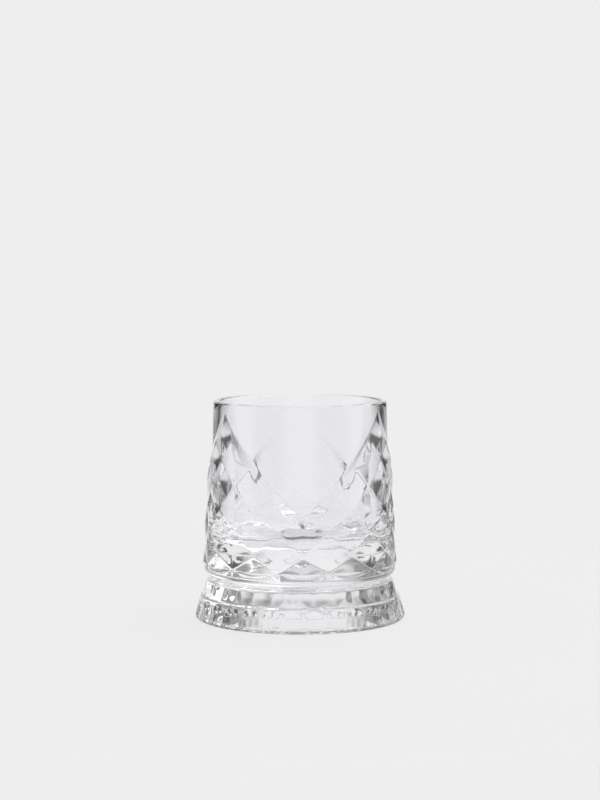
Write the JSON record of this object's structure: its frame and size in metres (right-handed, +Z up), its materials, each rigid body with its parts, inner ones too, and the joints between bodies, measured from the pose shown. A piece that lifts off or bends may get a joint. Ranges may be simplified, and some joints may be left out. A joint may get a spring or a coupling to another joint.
{
  "type": "whiskey tumbler",
  "caption": "Tapered glass tumbler bowl with cut diamonds and plain V-shaped windows, turning freely on a flared, fluted solid glass foot.",
  "frame": {"origin": "middle of the foot at the height of the ring that it stands on", "axes": "+Z up along the axis that the bowl turns on; -Y through the middle of one plain window of the bowl at rest, which is the front"},
  "size_m": [0.0898, 0.0902, 0.0935],
  "materials": {
    "clear_glass": "pressed and fire-polished clear soda-lime glass",
    "stainless_steel": "turned or pressed stainless steel",
    "spring_steel": "blued spring steel",
    "bearing_steel": "ground bearing steel",
    "polished_steel": "polished balls",
    "clear_adhesive": "cured clear adhesive film"
  },
  "bodies": {
    "foot_body": {"foot": "clear_glass", "bond_foot": "clear_adhesive", "bearing_cup": "stainless_steel", "bearing_outer_ring": "bearing_steel", "bearing_shield_upper": "stainless_steel", "bearing_shield_lower": "stainless_steel"},
    "bowl_body": {"bowl": "clear_glass", "bond_bowl": "clear_adhesive", "spindle": "stainless_steel", "bearing_inner_ring": "bearing_steel", "retaining_clip": "spring_steel"},
    "ball_train": {"bearing_balls": "polished_steel", "bearing_cage": "stainless_steel"}
  },
  "joints": [
    {"name": "bowl_spin", "type": "hinge", "parent": "foot_body", "child": "bowl_body", "pos_m": [0, 0, 0.0152], "axis": [0, 0, 1], "continuous": true},
    {"name": "ball_train_spin", "type": "hinge", "parent": "foot_body", "child": "ball_train", "pos_m": [0, 0, 0.0152], "axis": [0, 0, 1], "continuous": true}
  ],
  "couplings": [
    {"joint": "ball_train_spin", "follows": "bowl_spin", "ratio": 0.41111}
  ]
}
